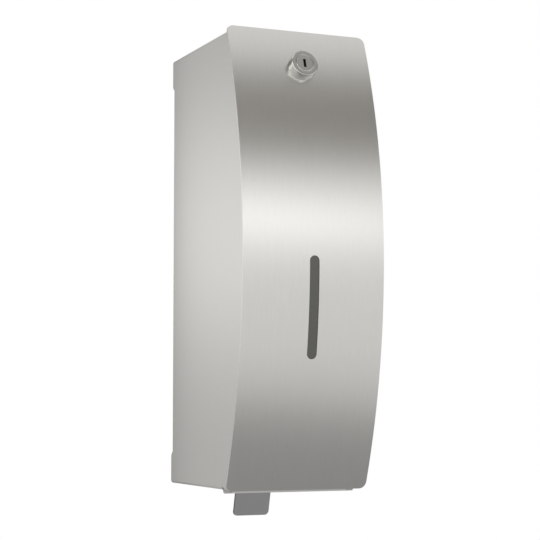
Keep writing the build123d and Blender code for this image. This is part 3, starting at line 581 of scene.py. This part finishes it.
# %% Wind the spring
WIRE_RADIUS = 0.5 * MM
COIL_TURNS = 5
spring_low, spring_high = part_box("return_spring")
coil_radius = (spring_high.x - spring_low.x) / 2 - WIRE_RADIUS
coil_length = spring_high.y - spring_low.y - 2 * WIRE_RADIUS
coil_middle = (spring_high.z + spring_low.z) / 2
spring = start("coil_spring", "primitive_circle_add", vertices=12, radius=WIRE_RADIUS,
               location=(coil_radius, 0, 0))
settle(spring)
apply(spring, "SCREW", axis="Y", angle=2 * math.pi, screw_offset=coil_length / COIL_TURNS,
      iterations=COIL_TURNS, steps=40, render_steps=40, use_merge_vertices=True,
      use_smooth_shade=True)
print("wound", COIL_TURNS, "turns over", round(coil_length / MM, 2), "mm")

# %% Close its ends and seat it
edit(spring)
bpy.ops.mesh.select_all(action="DESELECT")
bpy.ops.mesh.select_non_manifold()
bpy.ops.mesh.edge_face_add()
bpy.ops.mesh.select_all(action="SELECT")
bpy.ops.mesh.normals_make_consistent(inside=False)
done()
spring.location = (0, spring_low.y + WIRE_RADIUS, coil_middle)
settle(spring)
finished(spring, "housing", "return_spring", "spring_wire")
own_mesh(spring)

# %% [markdown]
# ## Camera
# The camera stands to the left of the object and lower than its window, and looks slightly up
# through a long lens. A long lens keeps the upright edges nearly parallel.

# %% Camera
camera = bpy.data.objects.new("camera", bpy.data.cameras.new("camera"))
bpy.context.scene.collection.objects.link(camera)
camera.location = (-0.44308, -1.09672, 0.05972)
camera.rotation_euler = (math.radians(94.70), 0, math.radians(-23.318))
camera.data.sensor_width = 36.0
camera.data.lens = 105.37
bpy.context.scene.camera = camera
print("camera stands", round(camera.location.length, 2), "m away")

# %% [markdown]
# ## The room
# The room is white to the camera and to whatever mirrors it, and a little dimmer as a light, so
# that pale surfaces don't burn out. The light path tells those rays apart.

# %% World
WHITE = (1, 1, 1, 1)
ROOM_LIGHT = 0.8
world = bpy.data.worlds.new("studio")
bpy.context.scene.world = world
world.use_nodes = True
bpy.context.scene.view_settings.view_transform = "Standard"
sky = Shader(world.node_tree)


def seen(shader):
    """1 for a ray from the camera, from a glossy surface or through glass, else 0."""
    rays = [shader.node("ShaderNodeLightPath", output=f"Is {kind} Ray")
            for kind in ("Camera", "Glossy", "Transmission")]
    return rays[0] + rays[1] + rays[2]


strength = ROOM_LIGHT + seen(sky) * (1.0 - ROOM_LIGHT)
backdrop = sky.node("ShaderNodeBackground", inputs={"Color": WHITE, "Strength": strength})
sky.node("ShaderNodeOutputWorld", inputs={"Surface": backdrop})
print("room light:", ROOM_LIGHT)

# %% [markdown]
# ## Cards for the steel to mirror
# Brushed steel shows little but its surroundings, so the studio matters as much as the finish. A
# bright strip straight ahead, and darker cards above and below it, make the bands that run across
# the curved door. They are bands of a cylinder, so that one profile serves the whole width, and
# they hang a little lower to the right. The sides of the box mirror flat cards behind the object.
# None of them is seen by the camera, and none casts a shadow.

# %% A glowing material
WARM = (1.0, 0.93, 0.82, 1.0)


def glow(name, level, colour=WHITE, hump=None):
    """A glowing material.

    A hump is a height, a reach above and below it, and what it adds at its middle.
    """
    material = bpy.data.materials.new(name)
    material.use_nodes = True
    shader = Shader(material.node_tree)
    if hump:
        middle, reach, extra = hump
        spot = shader.place()
        height = shader.node("ShaderNodeSeparateXYZ", output="Z", inputs={0: spot}) - middle
        away = height.maths("ABSOLUTE", height, 0.0)
        rise = shader.fade(away, 0.0, reach, before=extra, after=0.0)
        colour = shader.tinted(colour, rise + level)
        level = 1.0
    light = shader.node("ShaderNodeEmission", inputs={"Color": colour, "Strength": level})
    shader.node("ShaderNodeOutputMaterial", inputs={"Surface": light})
    return material


def light_up(piece, **look):
    """Makes a piece of the stage glow in mirrors alone."""
    piece.data.materials.append(glow(piece.name, **look))
    piece.visible_camera = False
    piece.visible_diffuse = False
    piece.visible_shadow = False
    print(piece.name, "glows at", look["level"])


# %% Curved cards round the front
CARD_START = -110
CARD_END = 110
CARD_STEPS = 64
CARD_TILT = math.radians(9.0)
MIRROR_ANGLE = math.radians(22.4)


def card(name, radius, low, high, end=CARD_END, **look):
    """A band of a cylinder round the object. Angle 0 is straight ahead of the door.

    Its heights hold at the angle where the camera sees it mirrored.
    """
    begin = math.radians(CARD_START)
    edge = Vector((math.sin(begin) * radius, -math.cos(begin) * radius, low))
    piece = chain(name, edge, [(0, 0, high - low)])
    bpy.ops.mesh.spin(steps=CARD_STEPS, angle=math.radians(end - CARD_START), center=(0, 0, 0),
                      axis=(0, 0, -1))
    done()
    settle(piece)
    piece.rotation_euler = (0, CARD_TILT, 0)
    piece.location = (0, 0, radius * math.sin(MIRROR_ANGLE) * math.tan(CARD_TILT))
    settle(piece)
    light_up(piece, **look)


card("upper_flag", radius=1.60, low=0.88, high=1.79, level=0.20, colour=WARM)
card("strip_light", radius=1.70, low=0.393, high=0.624, end=27, level=2.27)
card("skirt_card", radius=1.72, low=-0.25, high=0.393, level=0.89)
card("top_light", radius=1.50, low=1.95, high=2.60, level=1.04)


# %% Flat cards behind and below
def flag(name, half_width, depth, low, high, **look):
    """A flat card behind the object, which only its sides can mirror."""
    piece = start(name, "primitive_plane_add", size=1.0, location=(0, depth, (low + high) / 2),
                  rotation=(math.pi / 2, 0, 0))
    piece.scale = (2 * half_width, high - low, 1.0)
    settle(piece)
    light_up(piece, **look)


def disk(name, radius, place, sides, **look):
    """A round card that lies under the object."""
    piece = start(name, "primitive_circle_add", vertices=sides, radius=radius, fill_type="NGON",
                  location=place)
    settle(piece)
    light_up(piece, **look)


flag("rear_card", 1.3, depth=0.45, low=-1.0, high=1.3, level=0.60, hump=(0.235, 0.22, 0.50))
flag("rear_flag_near", 0.076, depth=0.06, low=-0.05, high=0.36, level=0.32)
disk("lower_flag", 1.0, (0, -0.1, -0.40), sides=96, level=0.335)
disk("bounce_card", 0.34, (0, 0.02, -0.39), sides=64, level=0.62)

# %% [markdown]
# ## The floor
# The floor catches the object's shadow. Its edge would show as a line in a view from above, so it
# fades into the white of the room a few steps away from the object.

# %% A floor that fades into the room
FADE_START = 1.2
FADE_END = 3.0


def fading_floor():
    """A pale surface that turns into a white glow with the distance from the middle."""
    material = finish("pale_floor", (0.85, 0.85, 0.85), roughness=0.9, grain=(3, 3, 3),
                      relief=0.1 * MM, contrast=0.005)
    shader = Shader(material.node_tree, keep=True)
    output = next(node for node in shader.tree.nodes if node.type == "OUTPUT_MATERIAL")
    surface = Value(shader, output.inputs["Surface"].links[0].from_socket)
    away = shader.node("ShaderNodeVectorMath", output="Value", inputs={0: shader.place()},
                       operation="LENGTH")
    far = shader.fade(away, FADE_START, FADE_END)
    white = shader.node("ShaderNodeEmission", inputs={"Color": WHITE, "Strength": 1.0})
    mixed = shader.node("ShaderNodeMixShader", inputs={0: far, 1: surface, 2: white})
    shader.tree.links.new(mixed.socket, output.inputs["Surface"])
    return material


floor = start("floor", "primitive_circle_add", vertices=128, radius=9.0, fill_type="NGON",
              location=(0, 0, -0.45))
settle(floor)
floor.data.materials.append(fading_floor())
print("floor fades from", FADE_START, "to", FADE_END, "m")

# %% [markdown]
# ## The key lamp
# One large soft lamp at the upper left gives the object its soft shadow and a little more light on
# its left side. It is left out of the mirror images, because the cards already draw those.

# %% Key lamp
key = bpy.data.objects.new("key", bpy.data.lights.new("key", "AREA"))
bpy.context.scene.collection.objects.link(key)
key.data.shape = "DISK"
key.data.size = 1.2
key.data.energy = 9.0
key.location = (-1.2, -1.9, 1.5)
lamp_target = Vector((0, -0.1, 0.16))
key.rotation_euler = (lamp_target - key.location).to_track_quat("-Z", "Y").to_euler()
key.visible_glossy = False
print("key lamp:", key.data.energy, "W")
